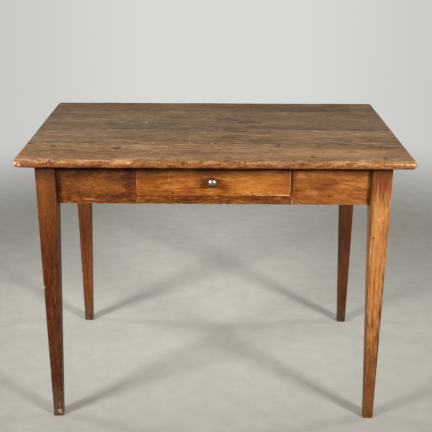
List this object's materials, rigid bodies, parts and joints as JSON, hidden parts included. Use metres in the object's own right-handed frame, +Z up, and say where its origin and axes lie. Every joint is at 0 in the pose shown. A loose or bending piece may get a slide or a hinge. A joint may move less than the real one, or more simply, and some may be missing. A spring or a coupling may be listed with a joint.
{
  "type": "tavern table",
  "caption": "Rectangular wooden tavern table with a plank top, tapered square legs, an apron set back between them and a shallow front drawer with a round metal knob.",
  "frame": {"origin": "on the floor, under the middle of the table top", "axes": "+X along the table's length, to the right of a person who faces the drawer; +Y towards the back, away from the drawer front; +Z up"},
  "size_m": [0.9902, 0.614, 0.75],
  "materials": {
    "top_wood": "old walnut planks, oiled, worn and greyed",
    "frame_wood": "old fruitwood, thin worn shellac",
    "drawer_wood": "unfinished aged softwood",
    "knob_metal": "turned white metal, polished by handling",
    "fastener_iron": "plain dark iron"
  },
  "bodies": {
    "table": {"top_board_front": "top_wood", "top_board_middle_front": "top_wood", "top_board_middle_back": "top_wood", "top_board_back": "top_wood", "leg_front_left": "frame_wood", "leg_front_right": "frame_wood", "leg_back_left": "frame_wood", "leg_back_right": "frame_wood", "leg_pegs": "frame_wood", "apron_back": "frame_wood", "apron_left": "frame_wood", "apron_right": "frame_wood", "front_panel_left": "frame_wood", "front_panel_right": "frame_wood", "drawer_rail": "frame_wood", "rail_pegs": "frame_wood", "drawer_runner_left": "drawer_wood", "drawer_runner_right": "drawer_wood", "drawer_stop_left": "drawer_wood", "drawer_stop_right": "drawer_wood", "top_screws": "fastener_iron", "stop_nails": "fastener_iron"},
    "drawer": {"drawer_front": "frame_wood", "drawer_side_left": "drawer_wood", "drawer_side_right": "drawer_wood", "drawer_back": "drawer_wood", "drawer_bottom": "drawer_wood", "drawer_side_nails": "fastener_iron", "drawer_bottom_nails": "fastener_iron", "drawer_knob": "knob_metal", "knob_bolt": "fastener_iron", "knob_washer": "fastener_iron", "knob_nut": "fastener_iron"}
  },
  "joints": [
    {"name": "drawer_slide", "type": "slide", "parent": "table", "child": "drawer", "axis": [0, -1, 0], "range_m": [0, 0.36]}
  ]
}
